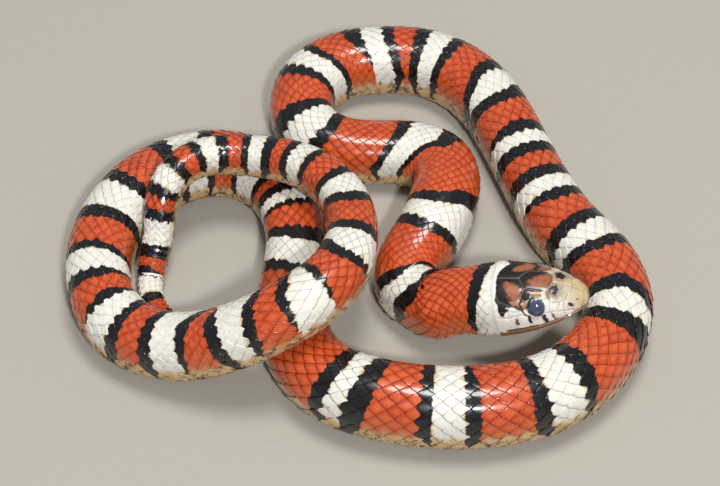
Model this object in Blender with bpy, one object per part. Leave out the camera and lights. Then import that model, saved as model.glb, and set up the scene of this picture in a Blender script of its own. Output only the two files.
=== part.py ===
"""Milk snake lying in two loose coils, life size, head raised a little over its own flank.

The body is a loft along one smooth route, with a round back, a flat belly and a girth that
follows the distance from the nape. It is parted by thin plane cuts into neck, body lengths and
tail lengths. The head is a loft of its own, with the groove of the mouth between its lips, a
pit for each nostril and a socket for each eye. Metres, +Z up, the belly rests on Z = 0.
"""
import bmesh
import bpy
import math
import numpy as np
from mathutils import Matrix, Vector

MM = 0.001

# Route of the belly line from the nape to the tip of the tail: x, y and lift off the floor, in mm
ROUTE = [
    (23.5, -23.2, 4.70), (18.8, -22.7, 3.10), (16.1, -22.5, 1.90), (11.8, -19.3, 0.80),
    (9.5, -16.6, 0.0), (9.6, -10.8, 0.0), (13.4, -4.2, 0.0), (17.0, 4.0, 0.0), (18.3, 11.0, 0.0),
    (16.3, 17.0, 0.0), (10.5, 20.0, 0.0), (3.0, 20.5, 0.0), (-4.0, 21.5, 0.0),
    (-10.2, 25.5, 0.0), (-12.8, 33.0, 0.0), (-10.0, 41.0, 0.0), (-3.5, 46.0, 0.0),
    (4.5, 47.6, 0.0), (13.5, 47.0, 0.0), (22.0, 42.5, 0.0), (29.0, 33.0, 0.0),
    (33.5, 21.5, 0.0), (37.8, 9.0, 0.0), (43.0, -2.5, 0.0), (49.0, -12.0, 0.0),
    (51.5, -23.0, 0.0), (46.5, -35.0, 0.0), (37.5, -43.0, 0.0), (27.0, -46.5, 0.0),
    (15.5, -47.0, 0.0), (4.0, -45.2, 0.0), (-6.5, -40.0, 0.0), (-12.3, -31.0, 0.0),
    (-13.8, -20.0, 0.0), (-12.8, -8.5, 0.0), (-13.8, 2.5, 0.0), (-19.0, 12.5, 0.0),
    (-28.0, 17.2, 0.0), (-38.2, 15.3, 0.0), (-47.0, 8.0, 0.0), (-52.3, -3.0, 0.0),
    (-53.0, -14.0, 0.0), (-49.0, -25.0, 0.0), (-40.5, -31.5, 1.20), (-30.5, -34.5, 4.40),
    (-21.0, -35.2, 9.80), (-12.3, -32.8, 14.70), (-5.0, -26.0, 15.80), (-1.6, -15.5, 15.40),
    (-3.0, -5.0, 14.90), (-9.0, 3.5, 14.40), (-16.5, 8.5, 13.10), (-25.0, 10.3, 12.80),
    (-32.0, 9.2, 13.60), (-37.3, 5.5, 13.60), (-40.2, 1.0, 10.20), (-41.2, -3.5, 5.40),
    (-42.4, -8.5, 2.00), (-42.8, -14.0, 0.0), (-41.2, -19.6, 0.0), (-36.8, -23.6, 0.0),
    (-31.0, -25.8, 0.0), (-25.5, -27.2, 0.0),
]

# Middle of the coils on the route's own grid, the lift under which the belly lies flat, and
# how softly it leaves the floor
PLAN_CENTRE = (-0.65, 0.05)
RESTS_BELOW = 0.12
LIFT_EASE = 0.3

# Half width of the body by distance along the route, in mm
GIRTH = [
    (0, 6.5), (18, 6.1), (26, 6.6), (36, 7.4), (46, 7.3), (58, 6.7), (70, 6.5), (82, 6.8),
    (95, 7.1), (145, 7.0), (165, 6.8), (190, 7.3), (206, 7.1), (243, 7.6), (280, 7.4), (311, 6.8),
    (350, 7.0), (401, 6.7), (433, 6.2), (455, 5.9), (476, 4.9), (496, 4.3), (525, 3.4),
    (543, 2.8), (556, 2.1), (568, 0.8),
]

# Height of the body over its width, lower where another length lies on top
FLATNESS = [
    (0, 0.96), (30, 0.98), (40, 1.0), (60, 0.95), (80, 0.97), (95, 1.0), (268, 1.0), (288, 0.9),
    (311, 0.92), (333, 0.86), (350, 0.9), (364, 1.0), (568, 1.0),
]

BACK_ROUNDNESS = 2.3
BELLY_ROUNDNESS = 3.2
BELLY_FLAT = 0.5
SIDES = 20
RING_PITCH = 3.3
CUT = 0.3

# Where the lengths are parted, by distance from the nape in mm
CUTS = {
    "neck": (0, 24),
    "body_01": (24, 50), "body_02": (50, 72), "body_03": (72, 94), "body_04": (94, 122),
    "body_05": (122, 152), "body_06": (152, 196), "body_07": (196, 228),
    "body_08": (228, 262), "body_09": (262, 294), "body_10": (294, 326),
    "body_11": (326, 350), "body_12": (350, 382), "body_13": (382, 412),
    "body_14": (412, 444), "body_15": (444, 470), "body_16": (470, 492),
    "tail_base": (492, 516), "tail_middle": (516, 541), "tail_tip": (541, None),
}

# Head, measured back from the tip of the snout along the line of the mouth, in mm:
# distance, half width, height above the mouth, depth below it
HEAD_STATIONS = [
    (0.0, 1.4, 1.3, 0.5), (0.5, 2.1, 2.2, 0.8), (1.9, 3.2, 3.4, 1.1), (3.9, 4.5, 4.6, 1.6),
    (6.0, 5.4, 5.6, 2.1), (8.0, 6.1, 6.3, 2.5), (10.0, 6.7, 6.9, 3.0), (12.2, 7.1, 7.4, 3.3),
    (14.5, 7.4, 7.8, 3.6), (17.0, 7.5, 8.1, 3.9), (19.5, 7.3, 8.1, 4.3), (21.8, 6.9, 8.0, 4.5),
    (23.8, 6.5, 7.9, 4.5),
]
HEAD_ROUNDNESS = 2.6
MOUTH_BELOW_AXIS = 1.95
JAW_CORNER = 17.0
MOUTH_DEPTH = 0.5
LIP_RISE = 0.12
NECK_FACE_GAP = 0.15

# Angles round one half of the head, from the crown to the upper lip, in degrees
CROWN_ANGLES = (90, 76, 62, 49, 37, 26, 16, 7)
# and from the lower lip to the chin
CHIN_ANGLES = (-7, -18, -32, -50, -70, -90)

EYE_RADIUS = 2.8
EYE_STATION = 9.3
EYE_ANGLE = math.radians(33)
EYE_BULGE = 0.45
SOCKET_GAP = 0.2

NOSTRIL_STATION = 3.0
NOSTRIL_ANGLE = math.radians(29)
NOSTRIL_RADIUS = 0.5
NOSTRIL_DEPTH = 0.7

SKIN_RED = (0.58, 0.075, 0.028)
SKIN_CREAM = (0.78, 0.74, 0.6)
EYE_BLACK = (0.012, 0.014, 0.02)


def clear_scene():
    for obj in list(bpy.data.objects):
        bpy.data.objects.remove(obj, do_unlink=True)


def new_collection(name):
    collection = bpy.data.collections.new(name)
    bpy.context.scene.collection.children.link(collection)
    return collection


def new_material(name, colour, roughness):
    material = bpy.data.materials.new(name)
    material.use_nodes = True
    shader = material.node_tree.nodes["Principled BSDF"]
    shader.inputs["Base Color"].default_value = (*colour, 1)
    shader.inputs["Roughness"].default_value = roughness
    shader.inputs["Metallic"].default_value = 0
    return material


class Route:
    """A natural cubic spline through the route's points, read by distance."""

    def __init__(self, points):
        self.points = np.array(points, float)
        steps = np.diff(self.points, axis=0)
        self.knots = np.concatenate([[0], np.cumsum(np.linalg.norm(steps, axis=1))])
        self.bends = self._solve_bends()
        fine = np.linspace(0, self.knots[-1], 4000)
        places = self._at_knot(fine)
        run = np.concatenate([[0], np.cumsum(np.linalg.norm(np.diff(places, axis=0), axis=1))])
        self.fine_knots = fine
        self.run = run
        self.length = run[-1]

    def _solve_bends(self):
        count = len(self.points)
        gaps = np.diff(self.knots)
        matrix = np.eye(count)
        right = np.zeros_like(self.points)
        for i in range(1, count - 1):
            matrix[i, i - 1:i + 2] = gaps[i - 1], 2 * (gaps[i - 1] + gaps[i]), gaps[i]
            after = (self.points[i + 1] - self.points[i]) / gaps[i]
            before = (self.points[i] - self.points[i - 1]) / gaps[i - 1]
            right[i] = 6 * (after - before)
        return np.linalg.solve(matrix, right)

    def _at_knot(self, knot):
        knot = np.atleast_1d(knot)
        i = np.clip(np.searchsorted(self.knots, knot, side="right") - 1, 0, len(self.knots) - 2)
        gap = (self.knots[i + 1] - self.knots[i])[:, None]
        left = (self.knots[i + 1] - knot)[:, None]
        past = (knot - self.knots[i])[:, None]
        curve = (self.bends[i] * left ** 3 + self.bends[i + 1] * past ** 3) / (6 * gap)
        curve += (self.points[i] / gap - self.bends[i] * gap / 6) * left
        curve += (self.points[i + 1] / gap - self.bends[i + 1] * gap / 6) * past
        return curve

    def at(self, distance):
        place = self._at_knot(np.interp(distance, self.run, self.fine_knots))[0]
        lift = max(0, place[2] - RESTS_BELOW)
        lift = lift ** 2 / (4 * LIFT_EASE) if lift < 2 * LIFT_EASE else lift - LIFT_EASE
        return np.array([place[0] - PLAN_CENTRE[0], place[1] - PLAN_CENTRE[1], lift])

    def frame(self, distance):
        """Belly point, direction towards the tail, direction to the left side, direction up."""
        step = 0.25
        here = self.at(distance)
        ahead = self.at(min(distance + step, self.length))
        behind = self.at(max(distance - step, 0))
        along = Vector(ahead - behind).normalized()
        side = Vector((0, 0, 1)).cross(along).normalized()
        return Vector(here), along, side, along.cross(side)


def profile(table, distance):
    """A smooth reading of a table of (distance, value)."""
    places = [row[0] for row in table]
    values = [row[1] for row in table]
    spread = 4.0
    offsets = (-1.5, -0.75, 0, 0.75, 1.5)
    return float(np.mean([np.interp(distance + k * spread, places, values) for k in offsets]))


def half_width(distance, length):
    if distance > length - 12:
        return float(np.interp(distance, [r[0] for r in GIRTH], [r[1] for r in GIRTH]))
    return profile(GIRTH, distance)


def body_section(width, height):
    """Points (sideways, up) round the body, the belly's flat at zero height."""
    points = []
    for i in range(SIDES):
        angle = 2 * math.pi * i / SIDES
        c, s = math.cos(angle), math.sin(angle)
        power = 2 / (BACK_ROUNDNESS if s > 0 else BELLY_ROUNDNESS)
        across = math.copysign(abs(c) ** power, c) * width
        up = height + math.copysign(abs(s) ** power, s) * height
        if s < 0 and abs(across) < BELLY_FLAT * width:
            up = 0
        points.append((across, up))
    return points


def loft(name, rings, material, collection):
    """A closed body through rings of equal count, with a flat cap at each end."""
    mesh = bpy.data.meshes.new(name)
    bm = bmesh.new()
    rows = [[bm.verts.new(point * MM) for point in ring] for ring in rings]
    for row, following in zip(rows, rows[1:]):
        for i in range(len(row)):
            j = (i + 1) % len(row)
            bm.faces.new((row[i], row[j], following[j], following[i]))
    bm.faces.new(list(reversed(rows[0])))
    bm.faces.new(rows[-1])
    bmesh.ops.recalc_face_normals(bm, faces=bm.faces)
    bmesh.ops.triangulate(bm, faces=bm.faces)
    bm.to_mesh(mesh)
    bm.free()
    obj = bpy.data.objects.new(name, mesh)
    collection.objects.link(obj)
    mesh.materials.append(material)
    mesh.shade_smooth()
    mesh.set_sharp_from_angle(angle=math.radians(40))
    return obj


def body_length(name, route, start, end, material, collection):
    start = start + (CUT / 2 if start > 0 else 0)
    end = route.length if end is None else end - CUT / 2
    count = max(3, round((end - start) / RING_PITCH) + 1)
    rings = []
    for distance in np.linspace(start, end, count):
        here, along, side, up = route.frame(distance)
        width = half_width(distance, route.length)
        height = width * profile(FLATNESS, distance)
        rings.append([here + side * v + up * w for v, w in body_section(width, height)])
    return loft(name, rings, material, collection)


def head_point(station, angle):
    """A point (sideways, up) of the head's skin at a station, angle 0 at the mouth."""
    distance, width, above, below = station
    c, s = math.cos(angle), math.sin(angle)
    power = 2 / HEAD_ROUNDNESS
    tall = above if s > 0 else below
    return math.copysign(abs(c) ** power, c) * width, math.copysign(abs(s) ** power, s) * tall


def station_at(distance):
    columns = list(zip(*HEAD_STATIONS))
    return tuple([distance] + [float(np.interp(distance, columns[0], c)) for c in columns[1:]])


def head_ring(station):
    """Half the ring with the groove of the mouth, then its mirror image."""
    distance, width = station[:2]
    depth = MOUTH_DEPTH * min(1, max(0, (JAW_CORNER - distance) / 2), width / 3)
    rise = LIP_RISE * depth / MOUTH_DEPTH
    half = [head_point(station, math.radians(a)) for a in CROWN_ANGLES]
    half[-1] = (half[-1][0] + rise, half[-1][1])
    half.append((width - depth, 0))
    lower = [head_point(station, math.radians(a)) for a in CHIN_ANGLES]
    lower[0] = (lower[0][0] + rise, lower[0][1])
    half += lower
    mirrored = [(-v, w) for v, w in reversed(half[1:-1])]
    return half + mirrored


def head_frame(route):
    """Tip of the snout, direction back to the nape, direction sideways, direction up."""
    nape, along, side, up = route.frame(0)
    height = profile(FLATNESS, 0) * half_width(0, route.length)
    centre = nape + up * (height - MOUTH_BELOW_AXIS)
    tip = centre - along * (HEAD_STATIONS[-1][0] + NECK_FACE_GAP)
    return tip, along, side * -1, up


def in_head(frame, distance, across, up):
    tip, back, sideways, rise = frame
    return tip + back * distance + sideways * across + rise * up


def skin_spot(frame, distance, angle, side):
    """Point and outward direction on the head's skin, side +1 for left and -1 for right."""
    across, up = head_point(station_at(distance), angle)
    step = 0.6
    ahead = head_point(station_at(distance - step), angle)
    behind = head_point(station_at(distance + step), angle)
    higher = head_point(station_at(distance), angle + 0.05)
    lower = head_point(station_at(distance), angle - 0.05)
    spot = in_head(frame, distance, across * side, up)
    lengthwise = in_head(frame, distance + step, behind[0] * side, behind[1]) - \
        in_head(frame, distance - step, ahead[0] * side, ahead[1])
    round_it = in_head(frame, distance, higher[0] * side, higher[1]) - \
        in_head(frame, distance, lower[0] * side, lower[1])
    outward = lengthwise.cross(round_it).normalized()
    if outward.dot(frame[2] * side) < 0:
        outward.negate()
    return spot, outward


def ball(name, centre, radius, collection, rings=12, segments=18):
    mesh = bpy.data.meshes.new(name)
    bm = bmesh.new()
    bmesh.ops.create_uvsphere(bm, u_segments=segments, v_segments=rings, radius=radius * MM)
    bm.to_mesh(mesh)
    bm.free()
    mesh.shade_smooth()
    obj = bpy.data.objects.new(name, mesh)
    obj.location = centre * MM
    collection.objects.link(obj)
    return obj


def cone_pit(name, spot, outward, collection):
    """A tapered pit for a nostril, standing half out of the skin."""
    mesh = bpy.data.meshes.new(name)
    bm = bmesh.new()
    bmesh.ops.create_cone(bm, cap_ends=True, segments=10, radius1=NOSTRIL_RADIUS * 0.5 * MM,
                          radius2=NOSTRIL_RADIUS * 1.5 * MM, depth=NOSTRIL_DEPTH * 2 * MM)
    bm.to_mesh(mesh)
    bm.free()
    obj = bpy.data.objects.new(name, mesh)
    turn = outward.to_track_quat("Z", "Y").to_matrix().to_4x4()
    obj.matrix_world = Matrix.Translation(spot * MM) @ turn
    collection.objects.link(obj)
    return obj


def cut_out(obj, cutter):
    cutter.hide_render = True
    cutter.display_type = "WIRE"
    modifier = obj.modifiers.new(cutter.name, "BOOLEAN")
    modifier.operation = "DIFFERENCE"
    modifier.object = cutter


def build_head(route, skin, eye_material, collection, cutters):
    frame = head_frame(route)
    rings = []
    for station in HEAD_STATIONS:
        ring = head_ring(station)
        rings.append([in_head(frame, station[0], v, w) for v, w in ring])
    head = loft("head", rings, skin, collection)
    for name, side in (("left", 1), ("right", -1)):
        spot, outward = skin_spot(frame, EYE_STATION, EYE_ANGLE, side)
        centre = spot + outward * (EYE_BULGE - EYE_RADIUS)
        eye = ball("eye_" + name, centre, EYE_RADIUS, collection)
        eye.data.materials.append(eye_material)
        socket = ball("socket_" + name, centre, EYE_RADIUS + SOCKET_GAP, cutters)
        cut_out(head, socket)
        spot, outward = skin_spot(frame, NOSTRIL_STATION, NOSTRIL_ANGLE, side)
        cut_out(head, cone_pit("nostril_" + name, spot, outward, cutters))


def main():
    clear_scene()
    parts = new_collection("milk_snake")
    cutters = new_collection("cutters")
    red = new_material("scales_red", SKIN_RED, 0.35)
    cream = new_material("head_plates", SKIN_CREAM, 0.35)
    eye = new_material("eye", EYE_BLACK, 0.08)
    route = Route(ROUTE)
    build_head(route, cream, eye, parts, cutters)
    for name, (start, end) in CUTS.items():
        body_length(name, route, start, end, red, parts)


main()
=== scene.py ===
"""A milk snake lying in loose coils: skin, scales, belly plates and eyes over the solid model."""
import math

import bpy
import numpy as np
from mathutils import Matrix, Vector


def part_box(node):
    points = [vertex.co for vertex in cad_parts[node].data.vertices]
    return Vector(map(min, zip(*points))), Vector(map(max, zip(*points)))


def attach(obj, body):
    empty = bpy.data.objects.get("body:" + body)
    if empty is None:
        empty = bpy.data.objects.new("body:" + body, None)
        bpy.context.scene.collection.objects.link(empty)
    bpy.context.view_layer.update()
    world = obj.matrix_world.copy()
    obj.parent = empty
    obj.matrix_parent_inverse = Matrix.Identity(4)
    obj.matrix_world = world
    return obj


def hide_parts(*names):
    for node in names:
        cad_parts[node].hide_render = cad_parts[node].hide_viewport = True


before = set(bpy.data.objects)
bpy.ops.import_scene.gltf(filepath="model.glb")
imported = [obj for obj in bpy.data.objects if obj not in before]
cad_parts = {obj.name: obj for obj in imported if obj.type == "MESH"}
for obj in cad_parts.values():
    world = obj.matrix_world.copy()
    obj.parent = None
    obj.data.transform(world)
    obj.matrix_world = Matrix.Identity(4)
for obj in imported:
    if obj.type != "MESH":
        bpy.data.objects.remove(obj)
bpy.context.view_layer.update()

MM = 0.001
SEED = 11
rng = np.random.default_rng(SEED)

# The camera: degrees over the floor, and lengths in mm
CAMERA_ELEVATION = 50.0
CAMERA_DISTANCE = 420.0
LOOK_AT = (0.65, -0.05, 0.0)
LENS = 100.0
SENSOR = 36.0

# Each lamp's azimuth and elevation in degrees, distance and width in m, watts and colour
LAMPS = {
    "key lamp": (40, 82, 0.9, 0.3, 4.6, (1.0, 0.98, 0.95)),
    "front lamp": (165, 46, 1.0, 0.09, 6.4, (0.97, 0.98, 1.0)),
}
SKY_COLOUR = (0.9, 0.94, 1.0, 1)
SKY_STRENGTH = 0.34
FLOOR_REACH = 1500

# The way the body lies, in mm: x, y, and the lift of the belly where it is off the floor
ROUTE = [
    (23.5, -23.2, 4.7), (18.8, -22.7, 3.1), (16.1, -22.5, 1.9), (11.8, -19.3, 0.8), (9.5, -16.6),
    (9.6, -10.8), (13.4, -4.2), (17, 4), (18.3, 11), (16.3, 17), (10.5, 20), (3, 20.5),
    (-4, 21.5), (-10.2, 25.5), (-12.8, 33), (-10, 41), (-3.5, 46), (4.5, 47.6), (13.5, 47),
    (22, 42.5), (29, 33), (33.5, 21.5), (37.8, 9), (43, -2.5), (49, -12), (51.5, -23),
    (46.5, -35), (37.5, -43), (27, -46.5), (15.5, -47), (4, -45.2), (-6.5, -40),
    (-12.3, -31), (-13.8, -20), (-12.8, -8.5), (-13.8, 2.5), (-19, 12.5), (-28, 17.2),
    (-38.2, 15.3), (-47, 8), (-52.3, -3), (-53, -14), (-49, -25), (-40.5, -31.5, 1.2),
    (-30.5, -34.5, 4.4), (-21, -35.2, 9.8), (-12.3, -32.8, 14.7), (-5, -26, 15.8),
    (-1.6, -15.5, 15.4), (-3, -5, 14.9), (-9, 3.5, 14.4), (-16.5, 8.5, 13.1), (-25, 10.3, 12.8),
    (-32, 9.2, 13.6), (-37.3, 5.5, 13.6), (-40.2, 1, 10.2), (-41.2, -3.5, 5.4), (-42.4, -8.5, 2),
    (-42.8, -14), (-41.2, -19.6), (-36.8, -23.6), (-31, -25.8), (-25.5, -27.2),
]
PLAN_CENTRE = (-0.65, 0.05)
# A lift below this lies on the floor, and a higher one begins as softly as this
RESTS_BELOW = 0.12
LIFT_EASE = 0.3

# Half width of the body, and its height over its width, by distance behind the nape
GIRTH = [
    (0, 6.5), (18, 6.1), (26, 6.6), (36, 7.4), (46, 7.3), (58, 6.7), (70, 6.5), (82, 6.8),
    (95, 7.1), (145, 7), (165, 6.8), (190, 7.3), (206, 7.1), (243, 7.6), (280, 7.4),
    (311, 6.8), (350, 7), (401, 6.7), (433, 6.2), (455, 5.9), (476, 4.9), (496, 4.3),
    (525, 3.4), (543, 2.8), (556, 2.1), (568, 0.8),
]
FLATNESS = [
    (0, 0.96), (30, 0.98), (40, 1), (60, 0.95), (80, 0.97), (95, 1), (268, 1), (288, 0.9),
    (311, 0.92), (333, 0.86), (350, 0.9), (364, 1), (568, 1),
]
# The length at the tail's end where the half width isn't smoothed
TAIL_TAPER = 12.0
# Powers of the section's curve over and under its widest level, and the flat of the belly
BACK_ROUNDNESS = 2.3
BELLY_ROUNDNESS = 3.2
BELLY_FLAT = 0.5

# Head, behind the tip of the snout: distance, half width, height over the mouth, depth under it
HEAD_STATIONS = [
    (0, 1.4, 1.3, 0.5), (0.5, 2.1, 2.2, 0.8), (1.9, 3.2, 3.4, 1.1), (3.9, 4.5, 4.6, 1.6),
    (6, 5.4, 5.6, 2.1), (8, 6.1, 6.3, 2.5), (10, 6.7, 6.9, 3), (12.2, 7.1, 7.4, 3.3),
    (14.5, 7.4, 7.8, 3.6), (17, 7.5, 8.1, 3.9), (19.5, 7.3, 8.1, 4.3), (21.8, 6.9, 8, 4.5),
    (23.8, 6.5, 7.9, 4.5),
]
HEAD_LENGTH = 23.95
HEAD_ROUNDNESS = 2.6
HEAD_SMOOTHING = 0.6
HEAD_TO_BODY = (-4, 2)
MOUTH_BELOW_AXIS = 1.95
JAW_CORNER = 17.0
HEAD_ROLL = 0.35

# How deep the skin and the scales' roots lie under the solid's face
SKIN_DEPTH = 0.44
BARE_DEPTH = 0.12
SCALE_DEPTH = 0.3
BELLY_DEPTH = 0.22
# How much shallower skin and scales lie on the nape, and where that ends, behind the snout
SHALLOW = 0.13
NAPE = (36, 22)
# Where the plates of the crown end, behind the snout, and how much deeper the first scales lie
CAP_END = 17.1
FIRST_SCALES_SINK = 0.1

# Step from one scale to the next along the body, by distance behind the nape
PITCH = [
    (-12, 1.6), (10, 1.8), (50, 2.1), (100, 2.6), (150, 3.1), (270, 3.25), (310, 3.0), (400, 2.8),
    (440, 2.7), (476, 2.3), (500, 2.1), (530, 1.7), (560, 1.1),
]
# Rows of scales over the back, from the neck down to the tip of the tail
ROW_COUNTS = [(-30, 23), (151, 21), (433, 19), (479, 17), (504, 13), (531, 9), (550, 7)]
# How much narrower than even the rows are on the crown, and the widest one over an even one
CROWN_ROWS = 0.2
WIDEST_ROW = 1.08
# How far behind the snout small scales begin, by mm round from the crown
SCALES_BEGIN = [(0, 17.9), (4, 17.8), (8, 17.6), (12, 17.6), (16, 14.2), (25, 13.5)]
# Length, width and thickness of a scale, over its step, the gap of its rows and a usual gap
SCALE_FORM = (1.42, 2.24, 0.065)
USUAL_ROW = 1.6
SCALE_TILT = math.radians(2.6)
# How far a scale's sides bend down round the body, against its thickness
CURL = 2.2
# Least run onward, for each mm, of skin that carries scales; inside a tight bend it folds back
LEAST_ONWARD = 0.05
# The belly's broad plates: their share of the turn, sideways tuck, points across and size, where
# they begin behind the snout, and where the body gives them their bend
BELLY_SHARE = 0.32
BELLY_TUCK = 0.02
BELLY_COLUMNS = 17
BELLY_FORM = (1.12, 1.0, 1.0)
BELLY_BEGINS = 15.5
BELLY_BEND_AT = 300.0
# How much deeper each belly plate is set at its front than behind, and how thick it is
BELLY_OVERLAP = 0.22
BELLY_THICKNESS = 0.14
# Spread of the plates' size by chance, and how far a band's edge runs on within a plate
UNEVENNESS = 0.03
EDGE_FOLLOW = 0.7
# A plate's patch on the unwrap, and the strips that the skin's length is laid out in
PATCH = 0.003
STRIPS = 4

HEAD_COLUMNS, BODY_COLUMNS = 256, 64
HEAD_STEP, BODY_STEP = 0.16, 1.25
FINE_SKIN_END = 0.5
SKIN_SHADE = 0.95
EYE_RINGS, EYE_COLUMNS = 28, 48


def linear(hex_colour):
    """A colour written as in a paint chart, turned into the renderer's linear values."""
    values = [int(hex_colour[i:i + 2], 16) / 255 for i in (1, 3, 5)]
    return np.array([v / 12.92 if v <= 0.04045 else ((v + 0.055) / 1.055) ** 2.4 for v in values])


SCALE_RED = linear("#CB4E1C")
SCALE_RED_DEEP = linear("#B63A11")
SCALE_BLACK = linear("#0B0A0D")
SCALE_WHITE = linear("#E8E5D8")
SCALE_TAN = linear("#C99A4E")
FLANK_ORANGE = linear("#C8622C")
BELLY_CREAM = linear("#CDAC7A")
BELLY_GREY = linear("#6E4E36")
HEAD_BROWN = linear("#A26140")
HEAD_BLACK = linear("#171314")
HEAD_TAN = linear("#A8794F")
SNOUT_CREAM = linear("#CCC4AE")
SNOUT_YELLOW = linear("#C9AE74")
# the white of the lips and the back of the head, much brighter than the crown's cream: partly their own
# whiter colour, partly painted light on the head's shaded sides
LIP_WHITE = linear("#F5F2E8")
# the brown painted on the jaw under the mouth, as painted shade under the upper jaw
JAW_SHADE_BROWN = linear("#784828")
SEAM_GREY = linear("#6B6259")
MOUTH_DARK = linear("#33190F")
# a scale's pale middle: partly its own colour, partly a painted highlight
MILKY_AND_SHEEN = linear("#DE7C50")
IRIS = linear("#566075")
PUPIL = linear("#3E475C")
EYE_RIM = linear("#6E7686")

# Bands by distance behind the nape: where each turns from red to black, white, black and red again
BANDS = [
    (7.4, 11.2, 16.2, 18), (27.5, 30, 34.5, 37.5), (50.5, 53.5, 60.5, 63), (75, 77.5, 83, 86),
    (93, 95.5, 99.5, 101.5), (107.5, 111, 115.5, 118), (122.5, 125.5, 130, 132.5),
    (138.5, 141.5, 148, 151), (156.5, 160, 163.5, 166.5), (170.5, 173.5, 177.5, 180.5),
    (185.5, 188.5, 193.5, 196), (203, 206.5, 212.5, 216), (225.5, 229.5, 235.5, 238.5),
    (247.5, 250, 256, 258.5), (266, 270, 273.5, 276.5), (287, 289.5, 293, 295.5),
    (302, 304.5, 311, 314.5), (320.5, 322, 325, 327.5), (330, 332, 339, 341),
    (347.5, 350, 356, 359.5), (367.5, 370.5, 377, 380), (386, 388, 393, 395.5),
    (399, 401.5, 406, 409), (414, 417, 423.5, 427.5), (431.5, 434.5, 439.5, 441.5),
    (444.5, 446, 450, 451.5), (455.5, 458, 463.5, 466), (471.5, 474.5, 480, 482),
    (486.5, 488, 491.5, 493.5), (496.5, 499.5, 503, 505), (508.5, 511, 514.5, 516),
    (518, 519.5, 522, 523.5), (525.5, 527.5, 533.5, 537), (539, 542, 547.5, 549.5),
    (553, 554.5, 557.5, 559),
]
# Where a band runs askew: the shift of its four edges a quarter of the way round, right and left
LEANS = {
    0: (-2, 4.2, 0, 2.8, -6, 1.2, 0, 0.4), 1: (3, 0, 2, 0.5, 5, 0.5, 6, -1),
    2: (3, 11.5, 3, 10, -3, 7, -2, 6), 3: (0, 2.5, 2, 2, 0, 0, 0, 0), 4: (0, 0, 0, 0, 4, 0, 4.5, 0),
    5: (8, 0, 3, 0, 3.5, 0, 3.5, 0), 7: (7, 0, 7, 0, 0, -4, 0, -2), 8: (3, 2, 0, 0, 0, 0, 0, 0),
    9: (0, 0, 0, 0, 0, 0, -3, 0), 10: (0, 0, 0, 0, -3, 0, -2, 0), 11: (2, 6, 3, 4, 0, -1, 0, 0),
    12: (2.5, 2.5, 0, 0, 0, 0, 0, 0), 13: (3, 0, 0, 0, 0, 0, 0, 0), 14: (-2, 2, -3, 2, 0, 1.2, 0, 0.4),
    16: (0, 2.5, 0, 3.5, 0, 3, 0, 2), 21: (0, 4, 0, 4, 0, 3, 0, 0), 22: (3, 3, 0, 0, 0, 0, 0, 3),
    23: (0, 6.5, 0, 5, 0, 14, -3, 12), 24: (0, 8, 0, 0, -1.5, 6, -2, 5),
    25: (0, 3.5, -1.5, 5, 0, 0, -2, 0), 26: (2, 2, 0, 4.5, 0, 0, 0, 0), 27: (1.5, 3, 0, 3, 0, 0, 0, 0),
    33: (0, 3, 0, 0, 0, 0, 0, 0),
}
# The pale collar's end and its black edge's: behind the snout, and the shift by the right and left jaw
COLLAR_START = 17.5
COLLAR_END = (19.4, -1.8, 2.4)
COLLAR_BLACK_END = (22.0, -0.9, 1.6)
# The most that the collar's edges and a band's are shifted, against a quarter of the way round
COLLAR_LEAN, BAND_LEAN = 1.3, 0.85
# Where the dark rings begin to narrow towards the belly, and how fast, in mm for a whole turn
FLANK_FROM = 0.24
FLANK_FADE = 24
DEEPEST = 9

# Seams between the head's plates: distance behind the snout and mm out from the midline
SEAMS = [
    "0.8,0 6.3,0", "12.8,0 17.1,0", "0.8,0 0.7,1.2 0.9,2.2 1.3,3.6 1.6,4.9",
    "2.8,0 2.9,0.8 3.5,1.5 3.8,2.6 4.3,4.1 4.6,5.8", "6.3,0 7,2.2 8.4,2.5 9.9,2.4 11.6,2.3 12.8,0",
    "7,2.2 7.4,3.5 8.4,4.3", "11.6,2.4 12.2,4.1 12.8,5.8 13.2,6.4 14.7,5.9 16.5,5.3 17.1,3.5 17.2,1 17,0",
    "3.9,3 5,4 6.9,4.7 7.4,3.5", "5,4 5.8,5.8", "6.9,4.7 7.2,6.5", "12.2,4.1 11.7,5.2",
    "12.8,5.8 12.3,6.8 11.9,8", "14.7,5.9 15,7.2 15.1,8.8", "15,7.2 16.6,7.6", "12.3,7 13.6,7.4 15,7.2",
    "17.2,8.8 15.1,8.8 12.7,8 11.2,8.1", "8.2,7.2 6.8,6.5 4.6,5.8 2.6,5 1.6,4.9", "2.6,5 2.9,6",
    "4.6,5.8 4.4,7.8", "6.9,6.6 6.1,9", "8.8,7.3 7.9,10", "11.2,8.1 11.3,11", "13.4,8.3 14,11.6",
    "3.3,3.2 3,5.2",
]
SEAM_DEPTH = 0.09
SEAM_HALF_WIDTH = 0.1
PLATE_CUSHION = 0.05

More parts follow.
